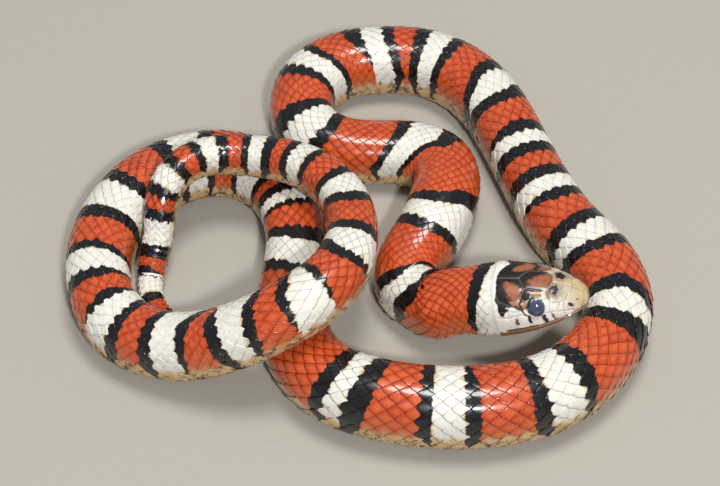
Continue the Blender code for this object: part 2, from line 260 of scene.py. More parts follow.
# The head's marks, drawn in the same way; the line of a mark's edge wanders and is a little soft
NEAR, FAR, BOTH = 1, -1, 0
MARKS = [
    (HEAD_BLACK, BOTH,
     "17.1,0 17.2,5 16.9,6.1 15.4,6.4 14.4,6.4 13.6,6.6 12.5,7 11.9,7.6 11.9,6.4 12.3,5.4 "
     "11.8,5.3 11.1,4.8 10.5,4.2 10.5,2.9 8.4,2.6 7.9,2.2 8.4,1.9 11,0"),
    (HEAD_BROWN, NEAR,
     "15.8,1.1 15.2,0.8 14,1 12.8,1.8 11.8,2.6 12.2,3.4 12.4,4.5 12.8,5.3 14,5.2 14.9,4.2 "
     "15.5,2.7"),
    (HEAD_BROWN, FAR, "14.9,1.7 15,2.7 14.9,3.7 14.2,4.9 12.9,5.3 12.2,4.3 11.5,3 12,2.2 13,1.6"),
    (HEAD_TAN, NEAR, "14.6,5.2 13.8,4.9 12.7,5.2 12.7,6.2 13.7,6"),
    (HEAD_BROWN, NEAR, "11,0 11.1,1.1 10.3,1.8 9,2 7.7,1.9 6.8,0.9 6.4,0"),
    (HEAD_BROWN, FAR, "11,0 10.2,0.6 8.9,1.6 7.6,2.2 6.7,1.4 6.4,0"),
    (HEAD_BROWN, FAR, "11.2,3.7 10.9,4.6 10.1,4.6 8.6,3.9 8.6,2.9 9.6,2.6 10.6,2.8"),
    (SNOUT_YELLOW, FAR, "9,4.2 7.8,3.8 7.6,2.9 8.6,2.8"),
    (HEAD_TAN, NEAR, "10.7,2.9 9.3,2.6 8.4,2.9 8.4,3.7 10.5,4"),
    (HEAD_BLACK, FAR, "7,2.8 6.8,3.4 5.4,2.7 4.6,2.1 5.1,1.1 6.1,1.4"),
    (HEAD_BLACK, NEAR, "6.6,1.1 5.7,0.5 5.3,1.2 5.5,2.3 5.8,3 6.5,2.7 7.3,2.5 7.1,1.6"),
    (HEAD_TAN, NEAR, "7.7,2.4 6.9,2.7 6.7,3.7 7.1,3.9 7.5,3.2"),
    (HEAD_BLACK, BOTH,
     "16.9,4 15.7,4.9 14.8,5.5 14.4,6.3 15.4,6.5 14.7,6.9 15.4,7.6 16.1,8.5 16.8,8.2 "
     "16.9,6.3"),
    (HEAD_TAN, BOTH, "12.2,5.6 11.8,4.8 11.3,4.8 11.2,6.9 12,6.6"),
    (HEAD_BLACK, BOTH, "12.6,6.3 12.2,6.6 11.6,7.6 11,8.1 11.8,8.2 12.4,7.3"),
    (HEAD_BLACK, BOTH, "9,7.5 8,7.3 7.5,10.2 8.4,10.2"),
    (HEAD_BLACK, BOTH, "11.4,7.9 10.8,7.9 10.7,9.9 11.4,9.9"),
    (HEAD_BROWN, BOTH, "13.9,8.8 13.2,8.9 13.3,10.6 13.9,10.6"),
    (HEAD_BROWN, BOTH, "7.1,6.7 6.6,6.8 6.1,8.8 6.7,8.8"),
]
MARK_WANDER = 0.14
MARK_BLUR = 0.07
# How far the right side of the crown's pattern is drawn forward
SKEW = 0.13
NOSTRIL = (3.2, 4.0)
NOSTRIL_RADIUS = 0.5
NOSTRIL_DEPTH = 0.5
NASAL_PIT = (2.0, 2.3)
MOUTH_DEPTH = 0.34
LIP_WIDTH = 0.2
CHIN_PLATE = 2.3
CHIN_WIDTH = 2.6
FAR_OFF = 99.0
# How deep each eyeball is set, and how the skin stands round it: over it, under it, before and behind
EYE_SUNK = 0.12
SOCKET_TOP, SOCKET_FOOT, SOCKET_ENDS = 0.08, 0.04, -0.27
SOCKET_WIDTH = 0.55


def unit(v):
    """Vectors brought to length one."""
    return v / np.maximum(np.linalg.norm(v, axis=-1, keepdims=True), 1e-9)


def ease(low, high, x):
    """A smooth step from 0 at low to 1 at high."""
    t = np.clip((x - low) / (high - low), 0, 1)
    return t * t * (3 - 2 * t)


def mixed(a, b, share):
    """Colour a, with a share of colour b in its place."""
    share = np.asarray(share)[..., None]
    return a * (1 - share) + b * share


def run_along(points):
    """Distance run along a line of points, at each of them."""
    return np.concatenate([[0], np.cumsum(np.linalg.norm(np.diff(points, axis=0), axis=1))])


def natural_curve(points, count=12000):
    """A natural cubic curve through the points."""
    points = np.array(points, float)
    knots = run_along(points)
    gaps = np.diff(knots)
    last = len(gaps)
    matrix, right = np.eye(last + 1), np.zeros_like(points)
    slopes = np.diff(points, axis=0) / gaps[:, None]
    for i in range(1, last):
        matrix[i, i - 1:i + 2] = gaps[i - 1], 2 * (gaps[i - 1] + gaps[i]), gaps[i]
        right[i] = 6 * (slopes[i] - slopes[i - 1])
    bends = np.linalg.solve(matrix, right)
    knot = np.linspace(0, knots[-1], count)
    i = np.clip(np.searchsorted(knots, knot, side="right") - 1, 0, last - 1)
    gap, left, past = [v[:, None] for v in (gaps[i], knots[i + 1] - knot, knot - knots[i])]
    curve = (bends[i] * left ** 3 + bends[i + 1] * past ** 3) / (6 * gap)
    for k, way in ((i, left), (i + 1, past)):
        curve += (points[k] / gap - bends[k] * gap / 6) * way
    return curve


def read_table(table, distance, spread=6.0):
    """A smooth reading of a table of (distance, value)."""
    places, values = np.array(table, float).T
    offsets = np.array([-1, -0.5, 0, 0.5, 1]) * spread
    return np.mean([np.interp(distance + k, places, values) for k in offsets], axis=0)


def oval(over, under):
    """Half a section of unit size, from the crown to the belly, by its powers over and under."""
    angle = np.radians(np.linspace(90, -90, 361))
    across, rise = np.cos(angle).clip(0), np.sin(angle)
    power = 2 / np.where(rise > 0, over, under)
    return across ** power, np.sign(rise) * np.abs(rise) ** power


class Surface:
    """The snake's outer face, in mm, read by distance behind the nape and share of the turn.

    The share is 0 on the crown, positive to the left and 0.5 under the belly.
    """

    columns = 193

    def __init__(self):
        curve = natural_curve([(*point, 0)[:3] for point in ROUTE])
        run = run_along(curve)
        lift = np.maximum(0, curve[:, 2] - RESTS_BELOW)
        lift = np.where(lift < 2 * LIFT_EASE, lift ** 2 / (4 * LIFT_EASE), lift - LIFT_EASE)
        curve = np.stack([curve[:, 0] - PLAN_CENTRE[0], curve[:, 1] - PLAN_CENTRE[1], lift], 1)

        def on_route(distance):
            return np.stack([np.interp(distance, run, curve[:, k]) for k in range(3)], 1)

        self.length = run[-1]
        self.s = np.concatenate([
            np.arange(-HEAD_LENGTH, -0.01, 0.15), np.arange(0, self.length, 0.4), [self.length]])
        behind_nape = self.s.clip(0)
        self.along = unit(on_route(behind_nape + 0.25) - on_route(behind_nape - 0.25))
        in_head = self.s < 0
        self.along[in_head] = self.along[np.argmin(in_head)]
        self.here = on_route(behind_nape) + self.along * np.minimum(self.s, 0)[:, None]
        self.side = unit(np.cross([0, 0, 1], self.along))
        self.up = np.cross(self.along, self.side)

        taper = np.interp(self.s, *np.array(GIRTH, float).T)
        self.width = np.where(self.s > self.length - TAIL_TAPER, taper, read_table(GIRTH, behind_nape))
        self.height = self.width * read_table(FLATNESS, behind_nape)
        self.mouth_level = self.height[0] - MOUTH_BELOW_AXIS

        across, rise = oval(BACK_ROUNDNESS, BELLY_ROUNDNESS)
        rise = np.where((rise < 0) & (across < BELLY_FLAT), -1, rise)
        body = self.even(self.width[:, None] * across, self.height[:, None] * (1 + rise))
        width, above, below = [
            read_table([(row[0], row[k]) for row in HEAD_STATIONS], self.s + HEAD_LENGTH, HEAD_SMOOTHING)
            for k in (1, 2, 3)]
        across, rise = oval(HEAD_ROUNDNESS, HEAD_ROUNDNESS)
        rise = np.where(rise > 0, above[:, None], below[:, None]) * rise
        head = self.even(width[:, None] * across, rise + self.mouth_level)

        share = ease(*HEAD_TO_BODY, self.s)
        self.round = head[2] + (body[2] - head[2]) * share
        across, rise = [head[k] + (body[k] - head[k]) * share[:, None] for k in (0, 1)]
        across = np.concatenate([-across[:, :0:-1], across], 1)[..., None]
        rise = np.concatenate([rise[:, :0:-1], rise], 1)[..., None]
        self.places = self.here[:, None] + self.side[:, None] * across + self.up[:, None] * rise

    def even(self, across, rise):
        """Half sections from the crown to the belly, read at even steps of their own length."""
        steps = np.hypot(np.diff(across), np.diff(rise))
        run = np.concatenate([np.zeros((len(across), 1)), np.cumsum(steps, 1)], 1)
        share = np.linspace(0, 1, self.columns // 2 + 1)
        across, rise = [
            np.array([np.interp(share * to[-1], to, row) for to, row in zip(run, rows)])
            for rows in (across, rise)]
        return across, rise, run[:, -1] * 2

    def at(self, s, turn):
        """Places on the face."""
        i = np.clip(np.searchsorted(self.s, s, side="right") - 1, 0, len(self.s) - 2)
        a = ((s - self.s[i]) / (self.s[i + 1] - self.s[i]))[..., None]
        t = ((turn + 0.5) % 1.0) * (self.columns - 1)
        j = np.clip(t.astype(int), 0, self.columns - 2)
        b = (t - j)[..., None]
        rows = self.places[i, j] * (1 - a) + self.places[i + 1, j] * a
        return rows * (1 - b) + (self.places[i, j + 1] * (1 - a) + self.places[i + 1, j + 1] * a) * b

    def step(self, s, turn):
        """How the face goes on with distance, for each mm."""
        return (self.at(s + 0.4, turn) - self.at(s - 0.4, turn)) / 0.8

    def normal(self, s, turn):
        """The way that the face looks."""
        lengthwise = self.at(s + 0.3, turn) - self.at(s - 0.3, turn)
        crosswise = self.at(s, turn + 0.008) - self.at(s, turn - 0.008)
        return unit(np.cross(lengthwise, crosswise))

    def girth(self, s):
        """Length once round the body."""
        return np.interp(s, self.s, self.round)


snake = Surface()


# Markings

def band_depths(s, turn):
    """How far each place lies inside a dark band, and inside its pale middle, in mm."""
    quarter = np.minimum(np.abs(turn) / 0.25, COLLAR_LEAN)
    low = (np.abs(turn) - FLANK_FROM).clip(0) * FLANK_FADE
    dark, pale = [
        end + np.where(turn > 0, left * quarter, right * (2 * quarter).clip(0, 1)) - HEAD_LENGTH - s
        for end, right, left in (COLLAR_BLACK_END, COLLAR_END)]
    for number, band in enumerate(BANDS):
        shifts = LEANS.get(number, (0,) * 8)
        rings = [place + np.where(turn > 0, left, right) * np.minimum(quarter, BAND_LEAN)
                 for place, right, left in zip(band, shifts[::2], shifts[1::2])]
        dark = np.maximum(dark, np.minimum(s - rings[0], rings[3] - s))
        pale = np.maximum(pale, np.minimum(s - rings[1], rings[2] - s))
    return (dark - low).clip(-DEEPEST, DEEPEST), pale.clip(-DEEPEST, DEEPEST)


def flank_share(s, turn):
    """How far the belly's cream has taken over, low on the flank; on the neck it begins lower."""
    return ease(0.24, 0.28, np.abs(turn) + 0.012 * np.sin(s * 2.1) - 0.075 * ease(45, 25, s))


def ground(turn, chance):
    """The red of the back, going to orange low on the flank."""
    red = mixed(SCALE_RED, SCALE_RED_DEEP, (0.5 + 0.5 * chance) * ease(0.25, 0.15, np.abs(turn)))
    return mixed(red, FLANK_ORANGE, ease(0.17, 0.28, np.abs(turn)) * 0.8)


def path(text):
    """Points written as x,y x,y and so on."""
    return np.array([point.split(",") for point in text.split()], float)


def waver(x, y, reach):
    """A soft irregular wander of that reach."""
    return reach * (np.sin(x * 3.1 + 2 * np.sin(y * 1.7)) + np.sin(x * 7.3 + y * 4.9)) / 2


def inside(outline, x, y):
    """Which places lie inside a closed outline."""
    result = np.zeros(x.shape, bool)
    for (x1, y1), (x2, y2) in zip(outline, outline[1:]):
        if y1 != y2:
            crosses = (y1 > y) != (y2 > y)
            result ^= crosses & (x < (x2 - x1) * (y - y1) / (y2 - y1) + x1)
    return result


def line_distance(line, x, y):
    """How far each place is from a line of points."""
    nearest = np.full(x.shape, FAR_OFF)
    for a, b in zip(line, line[1:]):
        step = b - a
        share = (((x - a[0]) * step[0] + (y - a[1]) * step[1]) / (step @ step)).clip(0, 1)
        nearest = np.minimum(nearest, np.hypot(x - a[0] - share * step[0], y - a[1] - share * step[1]))
    return nearest


def mouth_turn(s):
    """Share of the turn, from the crown, at which the line of the mouth lies."""
    i = np.clip(np.searchsorted(snake.s, s), 0, len(snake.s) - 1)
    rise = ((snake.places[i] - snake.here[i][..., None, :]) * snake.up[i][..., None, :]).sum(-1)
    half = rise[..., snake.columns // 2:]
    return np.argmin(np.abs(half - snake.mouth_level), -1) / (snake.columns - 1)


def eye_place(node):
    """Centre and radius of an eye of the solid, in mm, and the way that it looks."""
    low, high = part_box(node)
    centre = np.array((low + high) / 2) / MM
    radius = (high - low).x / 2 / MM
    s, turn = np.meshgrid(np.arange(-18, -10, 0.1), np.linspace(-0.3, 0.3, 121), indexing="ij")
    gap = np.linalg.norm(snake.at(s, turn) - centre, axis=-1)
    k = np.unravel_index(np.argmin(gap), gap.shape)
    looks = snake.normal(s[k], turn[k])
    return centre - looks * EYE_SUNK, radius, looks


EYES = {name: eye_place(name) for name in ("eye_left", "eye_right")}


def snout_colour(distance, out, side):
    """Cream on top, whiter to the lips and behind, yellow at the tip and on the far side; the lips' white
    is partly their own and partly painted light on the head's shaded sides.
    """
    colour = mixed(SNOUT_CREAM, LIP_WHITE, np.maximum(ease(2.5, 6, out) * 0.9, ease(12, 15, distance)))
    colour = mixed(colour, SNOUT_YELLOW, ease(3.6, 1.0, distance) * ease(4.5, 2.5, out) * 0.7)
    speckled = ease(0.0, 0.8, waver(distance * 2.3, out * 2.1 + side, 1))
    warm = ease(8.5, 3.5, distance) * ease(4.0, 1.5, out) * np.where(side == FAR, 0.8, 0.3)
    return mixed(colour, SNOUT_YELLOW * 0.95, warm * (0.6 + 0.4 * speckled))


def draw_marks(colour, distance, out, side, turn, on_top):
    """The head's marks, smoky at their brown edges and smudged round the snout's black ones."""
    rough_d = distance + waver(distance, turn * 40, MARK_WANDER)
    rough_out = out + waver(turn * 40 + 7, distance, MARK_WANDER)
    for tint, where, outline in MARKS:
        outline = path(outline)
        outline = np.vstack([outline, outline[:1]])
        outline[outline[:, 1] == 0, 1] = -0.5
        edge = line_distance(outline, rough_d, rough_out)
        shown = on_top & ((side == where) | (where == BOTH))
        if tint is HEAD_BLACK and where != BOTH:
            smudge = ease(1.3, 0.3, edge + waver(rough_d * 2.1, rough_out * 2.7, 0.5))
            colour = mixed(colour, HEAD_TAN * 0.6, smudge * (distance < 7.6) * shown * 0.6)
        if tint is HEAD_BROWN:
            smoky = ease(0.7, 0, edge + 0.35 * waver(rough_d * 1.7, rough_out * 2.3, 1))
            tint = mixed(tint, HEAD_BLACK, smoky * 0.6)
        mark = np.where(inside(outline, rough_d, rough_out), edge, -edge)
        colour = mixed(colour, tint, ease(-MARK_BLUR, MARK_BLUR, mark) * shown)
    return colour


def cut_seams(colour, distance, out, on_top):
    """Relief and colour with the seams between the head's plates, each a little cushioned."""
    seam = np.full(out.shape, FAR_OFF)
    for line in SEAMS:
        seam = np.minimum(seam, line_distance(path(line), distance, out))
    seam = np.where(on_top, seam, FAR_OFF)
    relief = PLATE_CUSHION * ease(0, 0.8, seam) - SEAM_DEPTH * ease(SEAM_HALF_WIDTH * 2, 0, seam)
    # on dark plates the seams are painted pale: partly their own colour, partly a painted highlight along
    # the seam
    on_dark = colour.mean(-1) < 0.12
    tint = np.where(on_dark[..., None], SNOUT_CREAM * 0.75, SEAM_GREY)
    share = ease(SEAM_HALF_WIDTH * 1.2, 0, seam) * np.where(on_dark, 0.3, 0.5)
    return relief, mixed(colour, tint, share)


def pierce_nostrils(relief, colour, distance, out):
    """Relief and colour with the nostrils, each in a low rim and painted dark inside as painted shade, and
    the small pits before them, which have no dent and are only painted grey as painted shade.
    """
    pit = np.hypot(distance - NOSTRIL[0], out - NOSTRIL[1])
    relief = relief - NOSTRIL_DEPTH * ease(NOSTRIL_RADIUS, NOSTRIL_RADIUS * 0.3, pit)
    relief += 0.08 * ease(0.4, 0, np.abs(pit - NOSTRIL_RADIUS * 1.5))
    # the nostril's hole is painted dark brown: painted shade inside it
    colour = mixed(colour, HEAD_BROWN * 0.35, ease(NOSTRIL_RADIUS * 1.25, NOSTRIL_RADIUS * 0.7, pit))
    # the pit before it is only a grey dot of painted shade, with no dent
    pit = np.hypot(distance - NASAL_PIT[0], out - NASAL_PIT[1])
    return relief, mixed(colour, SEAM_GREY * 0.6, ease(0.28, 0.12, pit))


def cut_mouth(relief, colour, distance, below_mouth, from_throat):
    """Relief and colour with the line of the mouth, and under it the jaw painted brown as painted shade and
    the pale chin.
    """
    lip = np.exp(-(below_mouth / LIP_WIDTH) ** 2) * ease(JAW_CORNER, JAW_CORNER - 1.5, distance)
    # a strip under the mouth, painted brown as painted shade under the upper jaw
    lower = ease(0, 0.35, below_mouth) * ease(3.4, 2.2, below_mouth)
    colour = np.where((below_mouth > 0)[..., None], BELLY_CREAM * 1.1, colour)
    colour = mixed(colour, JAW_SHADE_BROWN, lower * ease(21, 18, distance) * 0.85)
    colour = mixed(colour, MOUTH_DARK, ease(0.3, 0.75, lip))
    seam = np.abs((distance + 0.5 * below_mouth) % CHIN_PLATE - CHIN_PLATE / 2)
    in_row = (below_mouth > 0.35) & (below_mouth < CHIN_WIDTH) & (distance < 16)
    chin = np.where(in_row, seam, FAR_OFF)
    chin = np.minimum(chin, np.where(distance < 16, np.abs(below_mouth - CHIN_WIDTH), FAR_OFF))
    chin = np.minimum(chin, np.where(distance < 14, from_throat, FAR_OFF))
    relief = relief - MOUTH_DEPTH * lip - 0.1 * ease(0.22, 0, chin)
    return relief, mixed(colour, SEAM_GREY, ease(0.16, 0, chin) * 0.5)


def set_eye(relief, colour, places, centre, radius, looks):
    """Relief and colour with the skin round an eye: a ring of small scales and a dark brow."""
    gap = np.linalg.norm(places - centre, axis=-1) - radius
    forward = (places - centre) @ snake.along[0]
    upward = (places - centre) @ unit(snake.up[0] - looks * (looks @ snake.up[0]))
    lengthwise = forward ** 2 / (forward ** 2 + upward ** 2 + 1e-6)
    setting = SOCKET_ENDS * lengthwise + np.where(upward > 0, SOCKET_TOP, SOCKET_FOOT) * (1 - lengthwise)
    ring = np.exp(-((gap - 0.14) / 0.1) ** 2)
    relief = relief + setting * np.exp(-(gap.clip(0) / SOCKET_WIDTH) ** 2) + 0.06 * ring
    dots = np.sin(np.arctan2(places[..., 2] - centre[2], places[..., 0] - centre[0]) * 14)
    tint = mixed(LIP_WHITE * 0.7, HEAD_BLACK * 2, ease(0.1, 0.9, dots) * 0.6)
    colour = mixed(colour, tint, ring * 0.8)
    brow = ease(0.5, 0.2, gap) * ease(0.2, 0.8, upward) * ease(-1.2, -0.2, forward)
    return relief, mixed(mixed(colour, HEAD_BLACK, brow), HEAD_BLACK, ease(0.05, -0.05, gap))


def head_shape(s, turn, places):
    """Relief in mm and colour of the head's skin."""
    out = turn * snake.girth(s) - HEAD_ROLL * ease(0.5, 0.2, np.abs(turn))
    side, out = np.sign(out), np.abs(out)
    distance = s + HEAD_LENGTH + 0.15
    distance = distance + SKEW * np.minimum(out, 4) ** 2 * ease(7.5, 4, out) * (side < 0)
    below_mouth = (np.abs(turn) - mouth_turn(s)) * snake.girth(s)
    on_top = below_mouth < 0
    colour = snout_colour(distance, out, side)
    colour = draw_marks(colour, distance, out, side, turn, on_top)
    relief, colour = cut_seams(colour, distance, out, on_top)
    relief, colour = pierce_nostrils(relief, colour, distance, out)
    from_throat = (0.5 - np.abs(turn)) * snake.girth(s)
    relief, colour = cut_mouth(relief, colour, distance, below_mouth, from_throat)
    for centre, radius, looks in EYES.values():
        relief, colour = set_eye(relief, colour, places, centre, radius, looks)
    return relief, colour


# Objects and what their points carry

KINDS = {1: ("FLOAT", "value"), 3: ("FLOAT_VECTOR", "vector"), 4: ("FLOAT_COLOR", "color")}


def show(name, data):
    """A new object in the scene."""
    obj = bpy.data.objects.new(name, data)
    bpy.context.scene.collection.objects.link(obj)
    return obj


def new_object(name, places, faces, material=None):
    """A smooth mesh of places in mm."""
    mesh = bpy.data.meshes.new(name)
    mesh.from_pydata((np.asarray(places) * MM).tolist(), [], faces)
    mesh.shade_smooth()
    if material:
        mesh.materials.append(material)
    return show(name, mesh)


def put(mesh, name, values):
    """Writes a value, vector or colour for each point of the mesh."""
    values = np.asarray(values, np.float32).reshape(len(mesh.vertices), -1)
    kind, field = KINDS[values.shape[1]]
    mesh.attributes.new(name, kind, "POINT").data.foreach_set(field, values.ravel())


def put_tint(mesh, colours):
    """Writes a colour for each point of the mesh."""
    put(mesh, "tint", np.column_stack([colours, np.ones(len(colours))]))


def take(mesh, name, columns):
    """Reads and removes what each point of the mesh carries under this name."""
    attribute = mesh.attributes[name]
    values = np.empty(len(mesh.vertices) * columns, np.float32)
    attribute.data.foreach_get(KINDS[columns][1], values)
    mesh.attributes.remove(attribute)
    return values.reshape(-1, columns)


def put_unwrap(mesh, by_point):
    """The UV map for baking, from one place for each point of the mesh."""
    corners = np.empty(len(mesh.loops), np.int32)
    mesh.loops.foreach_get("vertex_index", corners)
    layer = mesh.uv_layers.new(name="OFBake")
    layer.data.foreach_set("uv", np.ascontiguousarray(by_point[corners], np.float32).ravel())


def unwrap(s, turn):
    """The skin's own shape laid flat: its length in a few strips, one above another."""
    strip_length = (snake.length + HEAD_LENGTH) / STRIPS
    distance = (s + HEAD_LENGTH).clip(0, snake.length + HEAD_LENGTH - 1e-3)
    strip = np.floor(distance / strip_length)
    u = distance / strip_length - strip
    v = (strip + 0.06 + 0.88 * (turn + 0.5)) / STRIPS
    return np.stack([0.01 + 0.98 * u, v], -1)


def tube_faces(start, rings, columns):
    """Faces of a tube of rings of points."""
    starts = range(start, start + (rings - 1) * columns, columns)
    pairs = [(j, (j + 1) % columns) for j in range(columns)]
    return [(a + j, a + columns + j, a + columns + k, a + k) for a in starts for j, k in pairs]


def fan_faces(ring, tip, columns):
    """Faces between the ring of points that starts there and a tip."""
    return [(ring + j, tip, ring + (j + 1) % columns) for j in range(columns)]


def inside_out(faces):
    """The same faces, looking the other way."""
    return [(face[0], *face[:0:-1]) for face in faces]


# Materials

def add(tree, kind, inputs=None, **settings):
    """Adds a node with its settings; an input is a value or the output that feeds it."""
    node = tree.nodes.new(kind)
    for key, value in settings.items():
        setattr(node, key, value)
    for key, value in (inputs or {}).items():
        if isinstance(value, bpy.types.NodeSocket):
            tree.links.new(value, node.inputs[key])
        else:
            node.inputs[key].default_value = value
    return node


def new_material(name):
    """A material, and its empty tree of nodes."""
    material = bpy.data.materials.new(name)
    material.use_nodes = True
    material.node_tree.nodes.clear()
    return material, material.node_tree


def cover(tree, inputs):
    """Ends a material's tree in its one shader."""
    shader = add(tree, "ShaderNodeBsdfPrincipled", inputs)
    add(tree, "ShaderNodeOutputMaterial", {"Surface": shader.outputs[0]})


def carried(tree, name, output="Vector"):
    """The output of what each point carries under this name."""
    return add(tree, "ShaderNodeAttribute", attribute_name=name).outputs[output]


def noise(tree, size, detail, roughness=0.5):
    """The output of a cloudy pattern fixed to the object, its lumps about that size in mm."""
    places = add(tree, "ShaderNodeTexCoord").outputs["Object"]
    return add(tree, "ShaderNodeTexNoise", {
        "Vector": places, "Scale": 1 / (size * MM), "Detail": detail, "Roughness": roughness}).outputs[0]


def blend(tree, share, low, high):
    """The output of a colour mix; a colour is a linear value or the output that feeds it."""
    colours = [c if isinstance(c, bpy.types.NodeSocket) else (*c, 1) for c in (low, high)]
    mix = add(tree, "ShaderNodeMix", {0: share, 6: colours[0], 7: colours[1]}, data_type="RGBA")
    return mix.outputs[2]


def ramp(tree, value, low, high, start=0.0, end=1.0, course="SMOOTHSTEP"):
    """The output of a change from start at low to end at high."""
    return add(tree, "ShaderNodeMapRange", {
        "Value": value, "From Min": low, "From Max": high, "To Min": start, "To Max": end},
        interpolation_type=course).outputs[0]


def maths(tree, operation, *values):
    """The output of a sum on values or outputs."""
    return add(tree, "ShaderNodeMath", dict(enumerate(values)), operation=operation).outputs[0]


def scaled(tree, vector, factor):
    """The output of a vector or colour times a factor."""
    return add(tree, "ShaderNodeVectorMath", {0: vector, "Scale": factor}, operation="SCALE").outputs[0]


def hide_material(name, roughness, coat, shade, pale_shade, mottle):
    """Snake skin: red, black and cream pigment under smooth horn, with a clear gloss.

    Each scale is deeper in colour at its root, partly painted shade under the scale before it, and pale as
    milk in the middle, partly a painted highlight; the bands' edges waver.
    """
    material, tree = new_material(name)
    rim, along, flank = add(tree, "ShaderNodeSeparateXYZ", {0: carried(tree, "form")}).outputs
    dark, pale, chance = add(tree, "ShaderNodeSeparateXYZ", {0: carried(tree, "bands")}).outputs
    grain = noise(tree, 0.35, 3.0)
    cloud = noise(tree, 1.6, 4.0, 0.6)
    wander = maths(tree, "MULTIPLY_ADD", cloud, 1.2, -0.6)
    dark = maths(tree, "ADD", dark, wander)
    pale = maths(tree, "ADD", pale, wander)
    is_pale = ramp(tree, pale, -0.1, 0.1)
    # each scale is painted paler in the middle and deeper at its root: partly its own colour, partly a
    # painted highlight in the middle and painted shade at the root under the scale before it
    milky_and_sheen = maths(tree, "MULTIPLY", ramp(tree, rim, 0.75, 0.2), ramp(tree, along, -0.25, 0.3, 0.25, 1.0))
    red = blend(tree, maths(tree, "MULTIPLY", milky_and_sheen, 0.4), carried(tree, "tint", "Color"), MILKY_AND_SHEEN)
    warm = maths(tree, "MULTIPLY", ramp(tree, pale, 0.5, 0.05), ramp(tree, dark, 0.5, 1.5))
    warm = maths(tree, "MULTIPLY", warm, ramp(tree, chance, -0.2, 0.9, 0.05, 0.75))
    cream = blend(tree, warm, SCALE_WHITE, SCALE_TAN)
    streaks = blend(tree, ramp(tree, cloud, 0.5, 0.66), BELLY_CREAM, BELLY_GREY)
    cream = blend(tree, flank, cream, streaks)
    red = blend(tree, flank, red, streaks)
    ink = blend(tree, ramp(tree, cloud, 0.45, 0.7), SCALE_BLACK * 0.8, SCALE_BLACK * 1.6)
    colour = blend(tree, ramp(tree, dark, -0.1, 0.1, 0.0, shade), red, ink)
    colour = blend(tree, maths(tree, "MULTIPLY", is_pale, pale_shade), colour, cream)
    # the rim of a scale is darker, but hardly so in the pale rings
    strength = maths(tree, "MULTIPLY", is_pale, 0.96)
    strength = maths(tree, "MAXIMUM", ramp(tree, rim, 0.6, 1.0, 1.0, 0.78), strength)
    for pattern in (grain, cloud):
        uneven = ramp(tree, pattern, 0.3, 0.7, 1 - mottle, 1 + mottle * 0.5)
        strength = maths(tree, "MULTIPLY", strength, uneven)
    bump = add(tree, "ShaderNodeBump", {"Height": grain, "Distance": 0.02 * MM, "Strength": 0.5})
    cover(tree, {
        "Base Color": scaled(tree, colour, strength), "IOR": 1.53, "Specular IOR Level": 0.35,
        "Coat Weight": coat, "Coat Roughness": 0.1, "Normal": bump.outputs[0],
        "Roughness": ramp(tree, grain, 0.3, 0.7, roughness - 0.06, roughness + 0.08)})
    return material


def eye_material():
    """The clear scale over the eye: dark iris seen through a wet, polished cap."""
    material, tree = new_material("eye under its clear scale")
    shade = ramp(tree, noise(tree, 0.25, 3.0), 0.3, 0.7, 0.7, 1.25, "LINEAR")
    cover(tree, {
        "Base Color": scaled(tree, carried(tree, "tint", "Color"), shade), "Roughness": 0.06, "IOR": 1.4,
        "Coat Weight": 1.0, "Coat Roughness": 0.02})
    return material


def floor_material():
    """A smooth pale studio board with the faintest grain."""
    material, tree = new_material("pale studio board")
    colour = blend(tree, noise(tree, 1.5, 5.0), linear("#A8A297"), linear("#AFA99E"))
    cover(tree, {"Base Color": colour, "Roughness": 0.85})
    return material


SKIN = hide_material("skin between the scales", 0.34, 0.3, 1.0, 1.0, 0.1)
SCALES = hide_material("smooth glossy back scales", 0.27, 0.5, 1.0, 1.0, 0.08)
BELLY = hide_material("broad belly plates", 0.36, 0.35, 0.7, 0.5, 0.3)
EYE = eye_material()


# Plates, set over the skin

def plates_tree():
    """Sets a plate at every point, turned and sized by what the point carries."""
    tree = bpy.data.node_groups.new("plates over a skin", "GeometryNodeTree")
    for name, kind in (("Geometry", "Geometry"), ("Plate", "Object"), ("Form", "Vector"),
                       ("Unevenness", "Float"), ("Seed", "Int"), ("Material", "Material")):
        tree.interface.new_socket(name, in_out="INPUT", socket_type="NodeSocket" + kind)
    tree.interface.new_socket("Geometry", in_out="OUTPUT", socket_type="NodeSocketGeometry")
    given = add(tree, "NodeGroupInput").outputs
    turn, size = [
        add(tree, "GeometryNodeInputNamedAttribute", {"Name": name}, data_type="FLOAT_VECTOR").outputs[0]
        for name in ("turn", "size")]
    plate = add(tree, "GeometryNodeObjectInfo", {"Object": given["Plate"]})
    sized = add(tree, "ShaderNodeVectorMath", {0: size, 1: given["Form"]}, operation="MULTIPLY")
    chance = add(tree, "FunctionNodeRandomValue", {
        "Min": maths(tree, "SUBTRACT", 1.0, given["Unevenness"]),
        "Max": maths(tree, "ADD", 1.0, given["Unevenness"]), "Seed": given["Seed"]}, data_type="FLOAT")
    placed = add(tree, "GeometryNodeInstanceOnPoints", {
        "Points": given["Geometry"], "Instance": plate.outputs["Geometry"],
        "Rotation": add(tree, "FunctionNodeEulerToRotation", {0: turn}).outputs[0],
        "Scale": scaled(tree, sized.outputs[0], chance.outputs["Value"])})
    solid = add(tree, "GeometryNodeRealizeInstances", {"Geometry": placed.outputs[0]})
    dressed = add(tree, "GeometryNodeSetMaterial", {
        "Geometry": solid.outputs[0], "Material": given["Material"]})
    add(tree, "NodeGroupOutput", {0: dressed.outputs[0]})
    return tree


PLATES = plates_tree()


def euler(x_axis, z_axis):
    """Turns, as three angles, that bring the plate's axes onto these."""
    y_axis = np.cross(z_axis, x_axis)
    return np.stack([
        np.arctan2(y_axis[:, 2], z_axis[:, 2]),
        np.arcsin(-x_axis[:, 2].clip(-1, 1)),
        np.arctan2(x_axis[:, 1], x_axis[:, 0])], 1)


